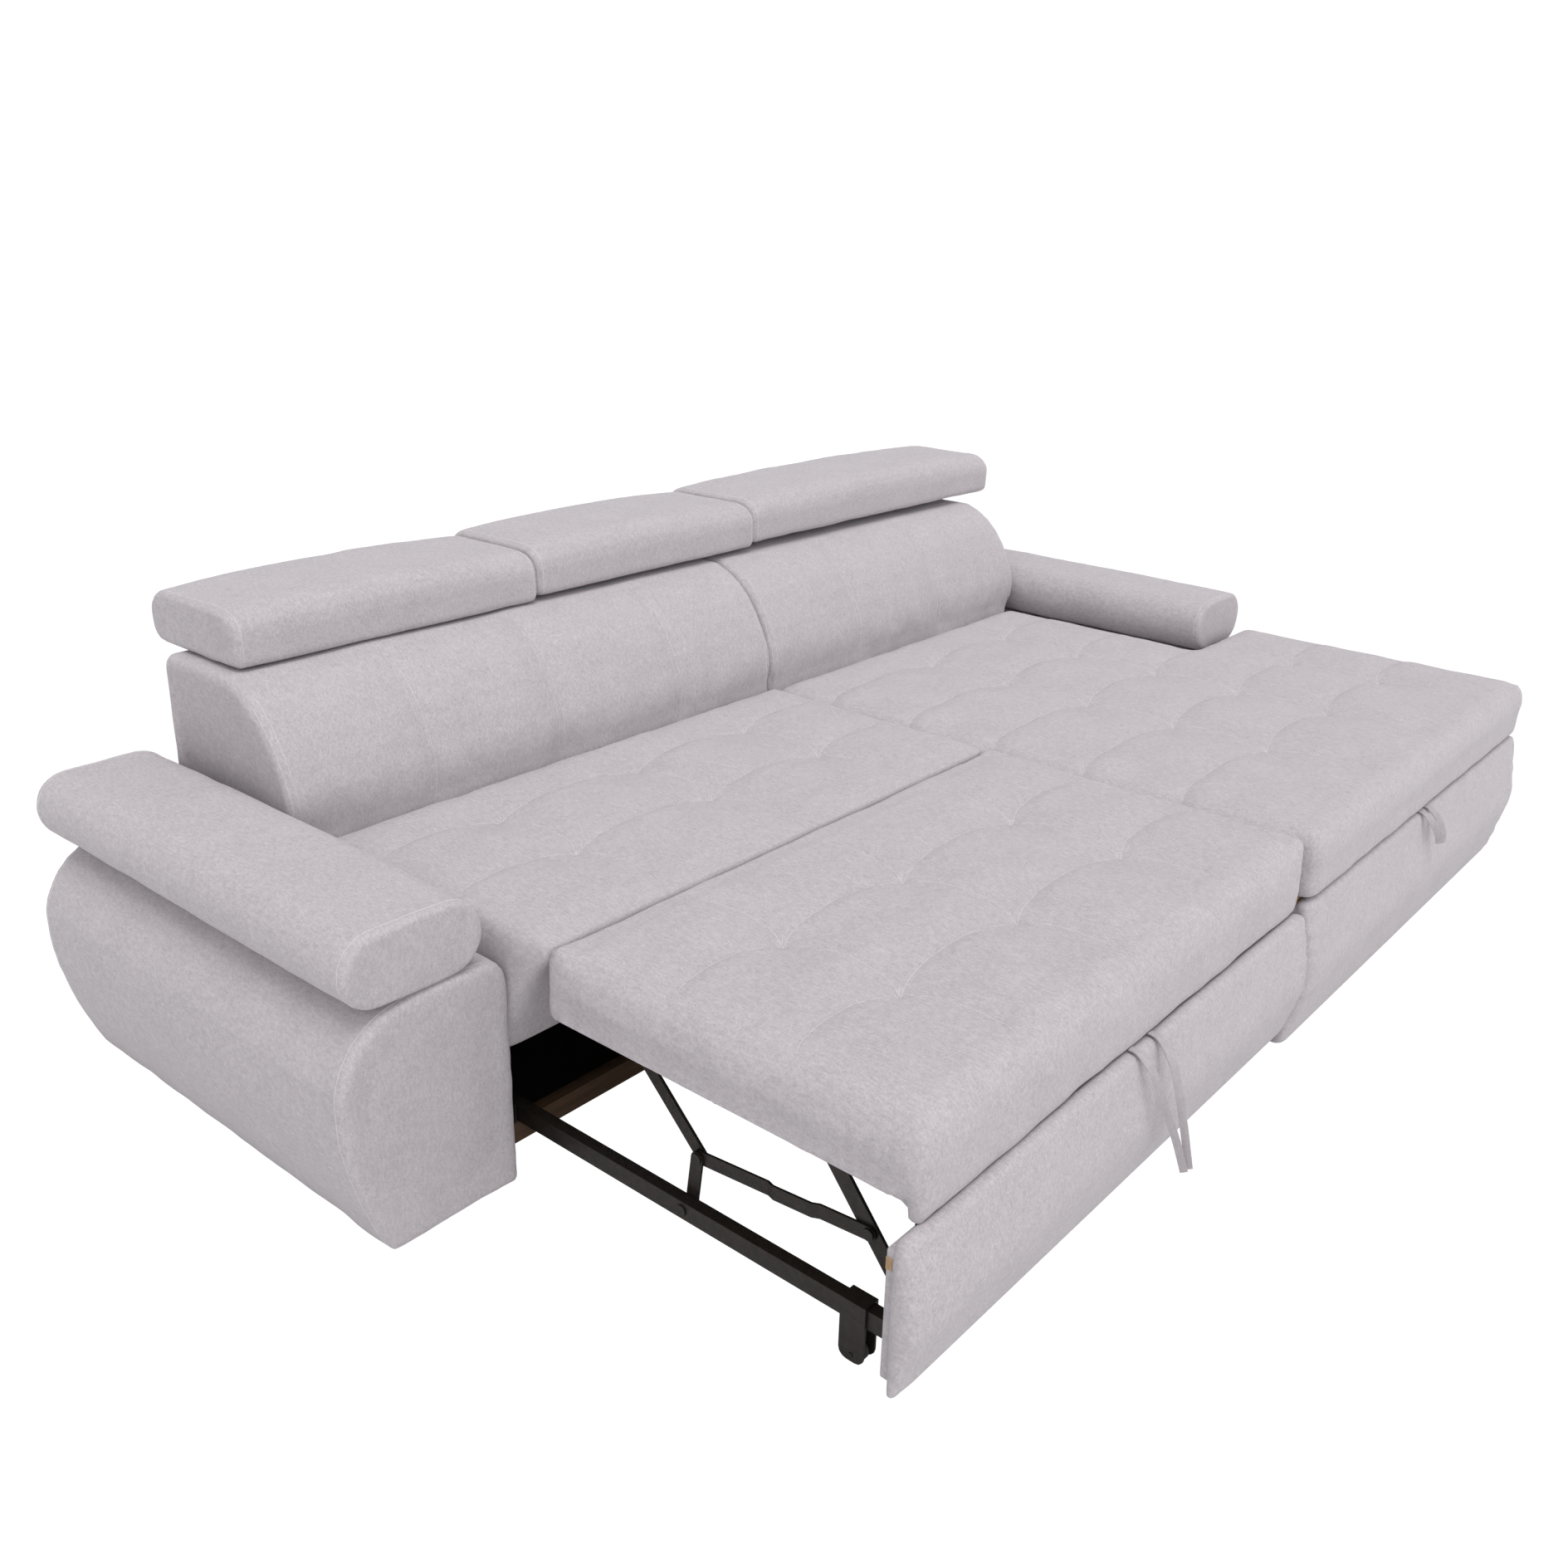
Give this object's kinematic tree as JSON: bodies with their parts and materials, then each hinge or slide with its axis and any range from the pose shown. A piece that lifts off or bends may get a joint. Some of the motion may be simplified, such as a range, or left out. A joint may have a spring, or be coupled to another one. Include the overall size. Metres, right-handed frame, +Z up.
{
  "type": "sleeper sofa with pull out bed",
  "caption": "Corner sleeper sofa with a pull-out fold-down bed on a lever linkage, tilting headrests, padded arms and a chaise whose lid opens over a storage box.",
  "frame": {"origin": "centre of the footprint at floor level", "axes": "+X along the length towards the chaise, +Y towards the backrest, +Z up"},
  "size_m": [2.7164, 1.7102, 0.8062],
  "materials": {
    "upholstery": "mottled velour",
    "strap_tape": "woven tape",
    "dark_steel": "powder coat",
    "plywood": "raw board",
    "black_plastic": "matte"
  },
  "bodies": {
    "sofa_frame": {"left_arm_body": "upholstery", "left_arm_pad": "upholstery", "right_arm_body": "upholstery", "right_arm_pad": "upholstery", "left_backrest": "upholstery", "right_backrest": "upholstery", "back_panel": "upholstery", "seat_deck": "plywood", "dust_cover": "black_plastic", "base_cross_rail": "plywood", "seat_cushion": "upholstery", "chaise_divider": "upholstery", "chaise_inner_side": "plywood", "chaise_deck": "plywood", "chaise_side": "upholstery", "chaise_return": "upholstery", "chaise_box_rear": "plywood", "chaise_floor": "plywood", "chaise_front_panel": "upholstery", "bed_panel_board": "plywood", "bed_front_panel": "upholstery", "bed_rail_left": "dark_steel", "bed_guide_left": "dark_steel", "wheel_bracket_left": "dark_steel", "bed_rail_right": "dark_steel", "bed_guide_right": "dark_steel", "wheel_bracket_right": "dark_steel", "bed_carriage_cross": "dark_steel", "bed_strap": "strap_tape", "foot_left_front": "black_plastic", "foot_left_rear": "black_plastic", "foot_right_front": "black_plastic", "foot_right_rear": "black_plastic", "foot_chaise_left": "black_plastic", "foot_chaise_right": "black_plastic"},
    "front_levers": {"front_lever_left": "dark_steel", "front_lever_right": "dark_steel", "front_lever_cross_tube": "dark_steel"},
    "bed_platform": {"platform_rail_left": "dark_steel", "platform_rail_right": "dark_steel", "platform_cross_front": "dark_steel", "platform_cross_rear": "dark_steel", "platform_board": "plywood", "bed_mattress": "upholstery"},
    "rear_levers": {"rear_lever_left": "dark_steel", "rear_lever_right": "dark_steel"},
    "connecting_links": {"connecting_link_left": "dark_steel", "connecting_link_right": "dark_steel"},
    "short_links": {"short_link_left": "dark_steel", "short_link_right": "dark_steel"},
    "left_headrest": {"left_headrest": "upholstery"},
    "middle_headrest": {"middle_headrest": "upholstery"},
    "right_headrest": {"right_headrest": "upholstery"},
    "chaise_lid": {"chaise_lid_board": "plywood", "chaise_cushion": "upholstery", "chaise_strap": "strap_tape"},
    "left_wheel": {"bed_wheel_left": "black_plastic"},
    "right_wheel": {"bed_wheel_right": "black_plastic"}
  },
  "joints": [
    {"name": "bed_fold", "type": "hinge", "parent": "sofa_frame", "child": "front_levers", "pos_m": [-0.48, -0.76386, 0.105], "axis": [-1, 0, 0], "range_deg": [0, 40.8]},
    {"name": "bed_platform_tilt", "type": "hinge", "parent": "front_levers", "child": "bed_platform", "pos_m": [-0.48, -0.59686, 0.31], "axis": [-1, 0, 0], "range_deg": [-37, 0]},
    {"name": "rear_lever_swing", "type": "hinge", "parent": "bed_platform", "child": "rear_levers", "pos_m": [-0.48, -0.24126, 0.308], "axis": [-1, 0, 0], "range_deg": [0, 52]},
    {"name": "connecting_link_swing", "type": "hinge", "parent": "front_levers", "child": "connecting_links", "pos_m": [-0.48, -0.69021, 0.1954], "axis": [-1, 0, 0], "range_deg": [-54, 0]},
    {"name": "short_link_swing", "type": "hinge", "parent": "sofa_frame", "child": "short_links", "pos_m": [-0.48, -0.37486, 0.084], "axis": [-1, 0, 0], "range_deg": [0, 28]},
    {"name": "left_headrest_tilt", "type": "hinge", "parent": "sofa_frame", "child": "left_headrest", "pos_m": [-0.75, 0.58974, 0.715], "axis": [1, 0, 0], "range_deg": [0, 80]},
    {"name": "middle_headrest_tilt", "type": "hinge", "parent": "sofa_frame", "child": "middle_headrest", "pos_m": [-0.098, 0.58974, 0.715], "axis": [1, 0, 0], "range_deg": [0, 80]},
    {"name": "right_headrest_tilt", "type": "hinge", "parent": "sofa_frame", "child": "right_headrest", "pos_m": [0.694, 0.58974, 0.715], "axis": [1, 0, 0], "range_deg": [0, 80]},
    {"name": "chaise_lid_lift", "type": "hinge", "parent": "sofa_frame", "child": "chaise_lid", "pos_m": [0.58, 0.41014, 0.447], "axis": [-1, 0, 0], "range_deg": [0, 35]},
    {"name": "left_wheel_roll", "type": "hinge", "parent": "sofa_frame", "child": "left_wheel", "pos_m": [-0.998, -0.69186, 0.016], "axis": [1, 0, 0], "continuous": true},
    {"name": "right_wheel_roll", "type": "hinge", "parent": "sofa_frame", "child": "right_wheel", "pos_m": [0.038, -0.69186, 0.016], "axis": [1, 0, 0], "continuous": true}
  ],
  "couplings": [
    {"joint": "bed_platform_tilt", "follows": "bed_fold", "ratio": -0.8898},
    {"joint": "rear_lever_swing", "follows": "bed_fold", "ratio": 1.2677},
    {"joint": "connecting_link_swing", "follows": "bed_fold", "ratio": -1.3015},
    {"joint": "short_link_swing", "follows": "bed_fold", "ratio": 0.6743}
  ]
}
